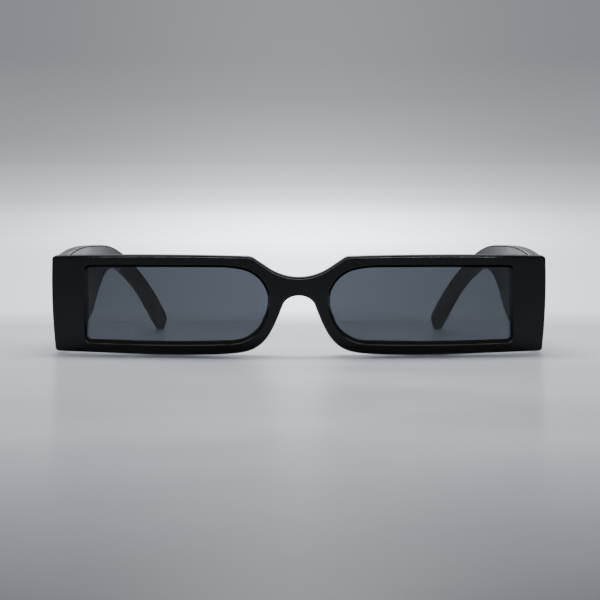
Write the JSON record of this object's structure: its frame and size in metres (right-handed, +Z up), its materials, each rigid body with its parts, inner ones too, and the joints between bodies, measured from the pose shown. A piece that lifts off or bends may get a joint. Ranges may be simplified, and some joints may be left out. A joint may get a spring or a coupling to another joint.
{
  "type": "sunglasses",
  "caption": "Narrow rectangular sunglasses: a wrapped glossy front with dark tinted lenses and broad folding temples that taper to hooked ear ends.",
  "frame": {"origin": "Centre of the outline seen from above with the temples open, at the height of the surface that the lower rims and the ear ends rest on", "axes": "+X to the wearer's left, -Y the way the wearer looks, +Z up"},
  "size_m": [0.148, 0.1468, 0.0326],
  "materials": {
    "frame_plastic": "polished black",
    "pad_plastic": "polished black, bonded to the rim",
    "lens_tint": "polished grey-blue tint",
    "hinge_metal": "barrel-finished steel",
    "screw_metal": "turned steel",
    "wire_metal": "drawn strip, hidden inside the temple"
  },
  "bodies": {
    "front": {"front_frame": "frame_plastic", "lens_left": "lens_tint", "lens_right": "lens_tint", "nose_pad_left": "pad_plastic", "nose_pad_right": "pad_plastic", "front_hinge_left": "hinge_metal", "front_hinge_right": "hinge_metal", "hinge_screw_left": "screw_metal", "hinge_screw_right": "screw_metal", "front_leaf_screws_left": "screw_metal", "front_leaf_screws_right": "screw_metal"},
    "left_temple": {"temple_left": "frame_plastic", "temple_hinge_left": "hinge_metal", "temple_leaf_screws_left": "screw_metal", "core_wire_left": "wire_metal"},
    "right_temple": {"temple_right": "frame_plastic", "temple_hinge_right": "hinge_metal", "temple_leaf_screws_right": "screw_metal", "core_wire_right": "wire_metal"}
  },
  "joints": [
    {"name": "left_fold", "type": "hinge", "parent": "front", "child": "left_temple", "pos_m": [0.06726, -0.05565, 0.01748], "axis": [0, -0.0872, 0.9962], "range_deg": [0, 86]},
    {"name": "right_fold", "type": "hinge", "parent": "front", "child": "right_temple", "pos_m": [-0.06726, -0.05565, 0.01748], "axis": [0, 0.0872, -0.9962], "range_deg": [0, 79]}
  ]
}
